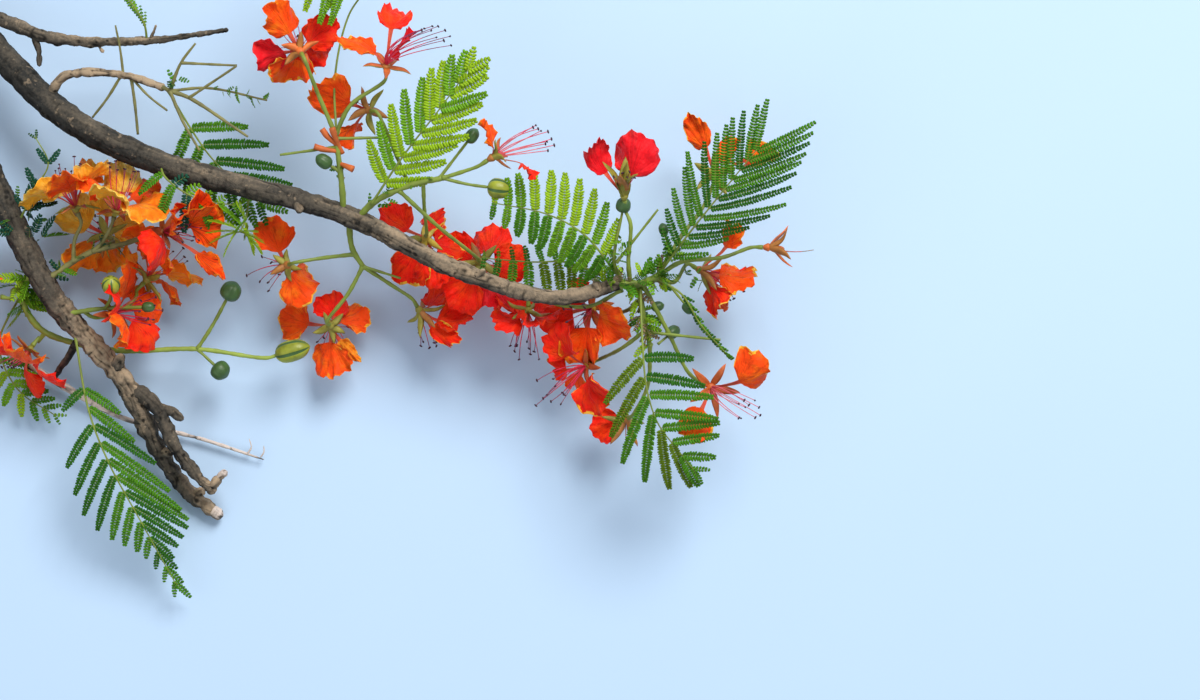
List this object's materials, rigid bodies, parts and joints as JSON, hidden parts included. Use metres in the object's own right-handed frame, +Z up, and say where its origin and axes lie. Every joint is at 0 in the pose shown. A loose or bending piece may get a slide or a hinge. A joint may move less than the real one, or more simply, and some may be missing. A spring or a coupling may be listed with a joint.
{
  "type": "flowering flame tree branch",
  "caption": "Cut limb of a flame tree lying on the ground, with forked grey boughs, feathery green leaves, green buds and red and orange blossom.",
  "frame": {"origin": "middle of the limb's box on X and Y, at the level of the ground it lies on", "axes": "+X along the limb from its cut end towards the flowering tip, +Y across it, +Z up"},
  "size_m": [0.9846, 0.7236, 0.2264],
  "materials": {
    "bark": "rough grey-brown bark with pale flecks",
    "green_stem": "smooth green stalks and buds",
    "foliage": "soft matt leaflets",
    "blossom": "satin, crinkled petals"
  },
  "bodies": {
    "root": {"bloom_behind_left": "blossom", "bloom_behind_right": "blossom", "bloom_fading": "blossom", "bloom_far_left": "blossom", "bloom_left_back": "blossom", "bloom_left_crown": "blossom", "bloom_left_inner": "blossom", "bloom_left_low": "blossom", "bloom_left_top": "blossom", "bloom_left_wide": "blossom", "bloom_low_left": "blossom", "bloom_low_orange": "blossom", "bloom_low_right": "blossom", "bloom_low_wide": "blossom", "bloom_nodding": "blossom", "bloom_right": "blossom", "bloom_ring": "blossom", "bloom_stamens": "blossom", "bloom_top_left": "blossom", "bloom_top_right": "blossom", "bloom_under_leaf": "blossom", "bloom_under_low": "blossom", "bloom_under_middle": "blossom", "bloom_under_near": "blossom", "bloom_wings": "blossom", "bough_main": "bark", "bough_second": "bark", "bough_second_fork": "bark", "bough_upper": "bark", "butt": "bark", "calyx_spent": "blossom", "leaf_behind_bough": "foliage", "leaf_bright": "foliage", "leaf_dark": "foliage", "leaf_far_left": "foliage", "leaf_hanging": "foliage", "leaf_left_lower": "foliage", "leaf_left_upper": "foliage", "leaf_over_bough": "foliage", "leaf_slender": "foliage", "leaf_sprig": "foliage", "leaf_tip_low": "foliage", "leaf_tip_right": "foliage", "leaf_top": "foliage", "leaf_young": "foliage", "raceme_buds": "green_stem", "raceme_hanging": "green_stem", "raceme_left": "green_stem", "raceme_left_low": "green_stem", "raceme_middle": "green_stem", "raceme_top": "green_stem", "shoot_tip": "green_stem", "stalks_bare": "green_stem", "twig_dead": "bark", "twig_middle": "bark"}
  },
  "joints": []
}
